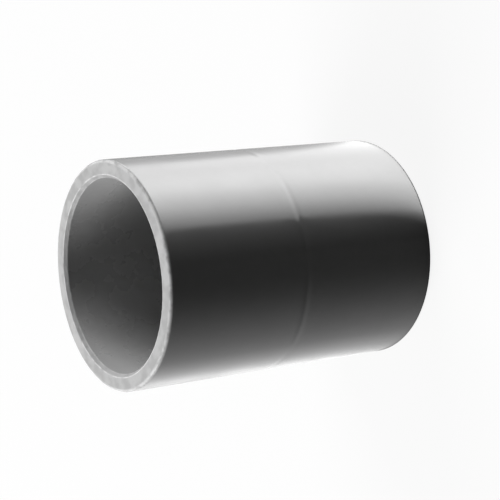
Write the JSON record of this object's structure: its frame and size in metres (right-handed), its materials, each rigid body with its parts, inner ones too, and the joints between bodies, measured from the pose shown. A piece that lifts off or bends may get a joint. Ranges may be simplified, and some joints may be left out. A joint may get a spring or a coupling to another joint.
{
  "type": "conduit coupling",
  "caption": "Short moulded sleeve with a socket at each end and a centre stop inside, which joins two lengths of rigid conduit end to end.",
  "frame": {"origin": "centre of the lower end face, on the sleeve's axis, where it stands on a surface", "axes": "+Z along the sleeve's axis, up from the lower end face to the upper one"},
  "size_m": [0.032, 0.032, 0.0436],
  "materials": {
    "grey_pvc": "satin"
  },
  "bodies": {
    "root": {"coupling": "grey_pvc"}
  },
  "joints": []
}
